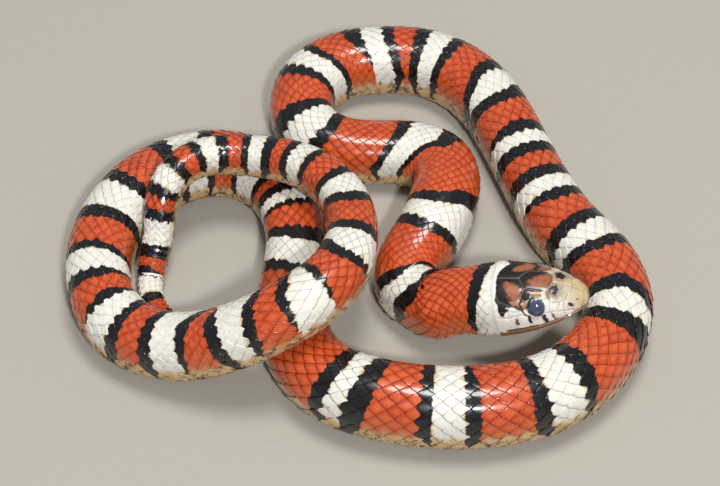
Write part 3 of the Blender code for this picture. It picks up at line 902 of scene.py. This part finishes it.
def lay_plates(name, plate, beds, material, form):
    """One piece of coat: a plate at each bed, realised as plain mesh and marked place by place."""
    bed = new_object(name, beds["point"], [])
    put(bed.data, "turn", beds["turn"])
    put(bed.data, "size", beds["size"])
    put(bed.data, "order", np.arange(len(beds["s"])))
    put_tint(bed.data, beds["tint"])
    modifier = bed.modifiers.new("plates", "NODES")
    modifier.node_group = PLATES
    given = {"Plate": plate, "Form": form, "Unevenness": UNEVENNESS, "Seed": SEED, "Material": material}
    for socket in PLATES.interface.items_tree:
        if socket.name in given:
            modifier[socket.identifier] = given[socket.name]
    view = bpy.context.evaluated_depsgraph_get()
    solid = bpy.data.meshes.new_from_object(bed.evaluated_get(view))
    bpy.data.objects.remove(bed)
    solid.name = name
    solid.shade_smooth()
    coat = show(name, solid)
    order = np.round(take(solid, "order", 1)[:, 0]).astype(int)
    patch, marks = [take(solid, key, 3) for key in ("patch", "form", "turn", "size")][:2]
    put_unwrap(solid, unwrap(beds["s"], beds["share"])[order] + patch[:, :2] * PATCH)
    s = beds["s"][order] + patch[:, 0] * beds["reach"][order, 0] * EDGE_FOLLOW
    share = beds["share"][order] + patch[:, 1] * beds["reach"][order, 1] * EDGE_FOLLOW
    put(solid, "bands", np.stack([*band_depths(s, share), beds["chance"][order]], 1))
    put(solid, "form", np.column_stack([marks[:, :2], flank_share(s, share)]))
    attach(coat, "root")


def unit_plate(name, places, faces, rims):
    """A plate one unit long and wide, that knows its rim and the places over its own patch."""
    plate = new_object(name, places, faces)
    patch = np.array(places, float)
    patch[:, :2] /= np.abs(patch[:, :2]).max(0) * 2
    put(plate.data, "form", np.stack([rims, patch[:, 0], 0 * patch[:, 0]], 1))
    put(plate.data, "patch", patch * [1, 1, 0])
    return plate


def scale_plate():
    """A domed lozenge with rounded corners, a few faces, closed underneath."""
    around, power = 14, 1.3
    angle = np.arange(around) * 2 * math.pi / around
    c, q = np.cos(angle), np.sin(angle)
    reach = (np.abs(c) ** power + np.abs(q) ** power) ** (-1 / power) / 2
    places, rims = [(0, 0, 1.0)], [0.0]
    for share, height, rim in ((0.5, 0.9, 0.5), (0.86, 0.6, 0.86), (1.0, 0.0, 1.0), (0.9, -0.8, 1.0)):
        places += [(x * share, y * share, height) for x, y in zip(c * reach, q * reach)]
        rims += [rim] * around
    places = np.array(places)
    places[:, 2] -= CURL * (places[:, 1] * 2) ** 2
    faces = inside_out(fan_faces(1, 0, around)) + tube_faces(1, 4, around)
    faces.append(tuple(reversed(range(1 + 3 * around, 1 + 4 * around))))
    return unit_plate("scale plate", places, faces, rims)


def belly_plate():
    """A plate bent to the underside of a body of unit half width, thin and closed."""
    s = BELLY_BEND_AT
    tuck = BELLY_SHARE / 2 + BELLY_TUCK
    turn = np.linspace(0.5 - tuck, 0.5 + tuck, BELLY_COLUMNS)
    i = np.searchsorted(snake.s, s)
    axes = np.stack([snake.side[i], snake.up[i]], 1)
    section = (snake.at(s, turn) - snake.here[i]) @ axes
    out = snake.normal(s, turn) @ axes
    swept = 0.5 + 0.22 * np.abs(np.linspace(-1, 1, BELLY_COLUMNS)) ** 3
    rings = []
    for under, share in ((0, 0), (0, 0.5), (0, 1), (1, 1), (1, 0.5), (1, 0)):
        depth = BELLY_DEPTH + BELLY_OVERLAP * (1 - share) + BELLY_THICKNESS * under
        rings.append(np.column_stack([share - swept, (section - out * depth) / snake.width[i]]))
    places = np.stack(rings, 1).reshape(-1, 3)
    around, count = len(rings), len(places)
    faces = inside_out(tube_faces(0, BELLY_COLUMNS, around))
    faces += [tuple(reversed(range(around))), tuple(range(count - around, count))]
    return unit_plate("belly plate", places, faces, [0.3, 0.3, 1.0, 1.0, 0.3, 0.3] * BELLY_COLUMNS)


def pitch(s):
    """Length of a scale row's step along the body."""
    return np.interp(s, *np.array(PITCH).T)


def nape_rise(s):
    """How much shallower skin and scales lie on the nape than on the body."""
    return SHALLOW * ease(*NAPE, s + HEAD_LENGTH)


def lattice():
    """Places of the back's scales: distance, share of the turn, and the share that a row takes."""
    s = np.arange(-HEAD_LENGTH, snake.length, 0.1)
    step = np.cumsum(0.1 / pitch(s))
    step -= np.interp(0, s, step)
    found = []
    ends = [row[0] for row in ROW_COUNTS[1:]] + [snake.length - 0.8]
    for (start, rows), end in zip(ROW_COUNTS, ends):
        low, high = np.interp([start, end], s, step)
        for row in range(-(rows // 2), rows // 2 + 1):
            shift = 0.5 * (row % 2)
            number = np.arange(math.ceil(low - shift), math.ceil(high - shift)) + shift
            u = 2 * row / rows
            share = (1 - BELLY_SHARE) / 2 * (u * (1 - CROWN_ROWS) + CROWN_ROWS * u ** 3)
            gap = (1 - BELLY_SHARE) / rows * min(WIDEST_ROW, 1 - CROWN_ROWS + 3 * CROWN_ROWS * u ** 2)
            found += [(distance, share, gap) for distance in np.interp(number, step, s)]
    found = np.array(found)
    return found[np.argsort(found[:, 0])]


def lay_scales():
    """The back's scales in four pieces of about as many scales each."""
    places = lattice()
    out = np.abs(places[:, 1]) * snake.girth(places[:, 0])
    begin = np.interp(out, *np.array(SCALES_BEGIN).T) - HEAD_LENGTH
    s, share, gap = places[places[:, 0] > begin].T
    chance = rng.uniform(-1, 1, len(s))
    normal = snake.normal(s, share)
    step = snake.step(s, share)
    stretch = np.linalg.norm(step, axis=-1)
    along = unit(step)
    along = unit(along - normal * (along * normal).sum(-1, keepdims=True))
    tilt = (SCALE_TILT * (1 + 0.2 * rng.uniform(-1, 1, len(s))))[:, None]
    x_axis = along * np.cos(tilt) + normal * np.sin(tilt)
    z_axis = normal * np.cos(tilt) - along * np.sin(tilt)
    onward = (step * snake.along[np.searchsorted(snake.s, s)]).sum(-1)
    row_gap = snake.girth(s) * gap
    depth = SCALE_DEPTH - nape_rise(s)
    depth += FIRST_SCALES_SINK * ease(CAP_END + 1.8, CAP_END, s + HEAD_LENGTH)
    beds = {
        "s": s, "share": share, "turn": euler(x_axis, z_axis),
        "point": snake.at(s, share) - normal * depth[:, None],
        "size": np.stack([pitch(s) * stretch.clip(0.3, 1.5), row_gap, row_gap / USUAL_ROW], 1),
        "tint": ground(share, chance), "chance": chance,
        "reach": np.stack([pitch(s) * SCALE_FORM[0], gap * SCALE_FORM[1]], 1),
    }
    plate = scale_plate()
    cuts = np.quantile(s, [0, 0.25, 0.5, 0.75, 1])
    cuts[-1] += 1
    for letter, low, high in zip("abcd", cuts, cuts[1:]):
        part = (s >= low) & (s < high) & (onward > LEAST_ONWARD)
        piece = {key: value[part] for key, value in beds.items()}
        lay_plates("scales_" + letter, plate, piece, SCALES, SCALE_FORM)
    bpy.data.objects.remove(plate)


def lay_belly():
    """The broad plates of the belly, one for each step of the scales."""
    s = [BELLY_BEGINS - HEAD_LENGTH]
    while s[-1] < snake.length - 3:
        s.append(s[-1] + float(pitch(s[-1])))
    s = np.array(s)
    chance = rng.uniform(-1, 1, len(s))
    i = np.searchsorted(snake.s, s)
    beds = {
        "s": s, "share": np.full(len(s), 0.5 - BELLY_SHARE / 2), "point": snake.here[i],
        "turn": euler(snake.along[i], snake.up[i]),
        "size": np.stack([pitch(s), snake.width[i], snake.height[i]], 1),
        "tint": mixed(BELLY_CREAM, BELLY_GREY, 0.2 + 0.15 * chance), "chance": chance,
        "reach": np.stack([pitch(s), 0 * s], 1),
    }
    plate = belly_plate()
    lay_plates("belly_plates", plate, beds, BELLY, BELLY_FORM)
    bpy.data.objects.remove(plate)


# The skin under the coat, and the eyes

def skin_part(distances, columns):
    """Places, colours, band depths, form and unwrap of one stretch of skin."""
    s, turn = np.meshgrid(distances, np.arange(columns) / columns - 0.5, indexing="ij")
    behind_snout = s + HEAD_LENGTH
    base = snake.at(s, turn)
    bare = ease(CAP_END + 1.9, CAP_END, behind_snout)
    depth = SKIN_DEPTH - nape_rise(s)
    depth += (BARE_DEPTH - depth) * bare
    colour = ground(turn, 0) * SKIN_SHADE
    dark, pale = band_depths(s, turn)
    form = np.stack([0.8 - 0.1 * bare, 0 * s, flank_share(s, turn) * (behind_snout > COLLAR_START)], -1)
    if columns == HEAD_COLUMNS:
        relief, face = head_shape(s, turn, base)
        depth -= relief
        colour = mixed(colour, face, ease(COLLAR_START + 1.5, COLLAR_START + 0.5, behind_snout))
        dark, pale = [np.where(behind_snout < COLLAR_START, -DEEPEST, v) for v in (dark, pale)]
    places = base - snake.normal(s, turn) * depth[..., None]
    bands = np.stack([dark, pale, -0.6 * bare], -1)
    return [v.reshape(-1, v.shape[-1]) for v in (places, colour, bands, form, unwrap(s, turn))]


def make_skin():
    """One closed skin from snout to tail, finer on the head than on the body."""
    head_rows = np.arange(0.3 - HEAD_LENGTH, FINE_SKIN_END, HEAD_STEP)
    body_rows = np.arange(FINE_SKIN_END + 0.5, snake.length - 0.4, BODY_STEP)
    head, body = skin_part(head_rows, HEAD_COLUMNS), skin_part(body_rows, BODY_COLUMNS)
    places, *carried_on = [np.concatenate(pair) for pair in zip(head, body)]
    # the snout closes in two shrinking rings and a tip, the tail in a point
    n = HEAD_COLUMNS
    middle, forward = places[:n].mean(0), -snake.along[0]
    rings = [middle + (places[:n] - middle) * share + forward * 0.12 * (1 - share) for share in (0.35, 0.7)]
    tail = snake.here[-1] + snake.up[-1] * snake.height[-1] - snake.along[-1] * 0.1
    places = np.concatenate([[middle + forward * 0.14], *rings, places, [tail]])
    tint, bands, form, roots = [
        np.concatenate([values[:1], values[:n], values[:n], values, values[-1:]]) for values in carried_on]
    rows = len(head_rows) + 2
    start, end = 1 + rows * n, len(places) - 1
    faces = inside_out(fan_faces(1, 0, n)) + tube_faces(1, rows, n)
    faces += tube_faces(start, len(body_rows), BODY_COLUMNS)
    faces += fan_faces(end - BODY_COLUMNS, end, BODY_COLUMNS)
    # four faces round the head meet one round the body
    for j in range(BODY_COLUMNS):
        near, far = start + j, start + (j + 1) % BODY_COLUMNS
        a, b, c, d, e = [start - n + (4 * j + k) % n for k in range(5)]
        faces += [(near, b, a), (near, c, b), (far, c, near), (far, d, c), (far, e, d)]
    skin = new_object("skin", places, faces, SKIN)
    put_tint(skin.data, tint)
    put(skin.data, "bands", bands)
    put(skin.data, "form", form)
    put_unwrap(skin.data, roots)
    flesh = [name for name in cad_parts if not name.startswith("eye")]
    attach(skin, "root")
    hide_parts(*flesh)


def make_eye(name):
    """An eyeball with its pole to the front, so that pupil and iris are rings about it."""
    centre, radius, looks = EYES[name]
    side = unit(np.cross(looks, [0, 0, 1.0]))
    up = np.cross(looks, side)
    polar = math.pi * np.arange(1, EYE_RINGS)[:, None, None] / EYE_RINGS
    angle = 2 * math.pi * np.arange(EYE_COLUMNS)[:, None] / EYE_COLUMNS
    out = side * np.cos(angle) + up * np.sin(angle)
    ball = (looks * np.cos(polar) + out * np.sin(polar)).reshape(-1, 3)
    degrees = np.degrees(np.repeat(polar.ravel(), EYE_COLUMNS))
    tint = mixed(PUPIL, IRIS, ease(30, 38, degrees))
    tint = mixed(tint, EYE_RIM, ease(58, 74, degrees) * 0.5)
    faces = inside_out(fan_faces(1, 0, EYE_COLUMNS)) + tube_faces(1, EYE_RINGS - 1, EYE_COLUMNS)
    faces += fan_faces(1 + len(ball) - EYE_COLUMNS, 1 + len(ball), EYE_COLUMNS)
    places = centre + np.concatenate([[looks], ball, [-looks]]) * radius
    eye = new_object(name.replace("eye_", "eyeball_"), places, faces, EYE)
    put_tint(eye.data, np.concatenate([[PUPIL], tint, [PUPIL]]))
    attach(eye, "root")
    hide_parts(name)


# The stage

def look_back(obj, azimuth, elevation, distance, at=(0, 0, 0)):
    """Sets a lamp or the camera off in a direction, to look back; lengths are in m."""
    a, e = math.radians(azimuth), math.radians(elevation)
    away = Vector((math.sin(a) * math.cos(e), math.cos(a) * math.cos(e), math.sin(e)))
    obj.location = Vector(at) + away * distance
    obj.rotation_euler = away.to_track_quat("Z", "Y").to_euler()


def set_stage():
    """Floor, lamps, sky and camera."""
    r = FLOOR_REACH
    floor = new_object("floor", [(-r, -r, 0), (r, -r, 0), (r, r, 0), (-r, r, 0)], [(0, 1, 2, 3)],
                       floor_material())
    for name, (azimuth, elevation, distance, width, power, colour) in LAMPS.items():
        data = bpy.data.lights.new(name, "AREA")
        data.shape, data.size, data.energy, data.color = "DISK", width, power, colour
        look_back(show(name, data), azimuth, elevation, distance)
    scene = bpy.context.scene
    scene.world = bpy.data.worlds.new("studio")
    scene.world.use_nodes = True
    sky = scene.world.node_tree.nodes["Background"].inputs
    sky["Color"].default_value, sky["Strength"].default_value = SKY_COLOUR, SKY_STRENGTH
    scene.view_settings.view_transform = "Standard"
    data = bpy.data.cameras.new("camera")
    data.lens, data.sensor_width, data.clip_start = LENS, SENSOR, 0.01
    scene.camera = show("camera", data)
    look_back(scene.camera, 180, CAMERA_ELEVATION, CAMERA_DISTANCE * MM, Vector(LOOK_AT) * MM)


make_skin()
lay_scales()
lay_belly()
for eye_name in EYES:
    make_eye(eye_name)
set_stage()
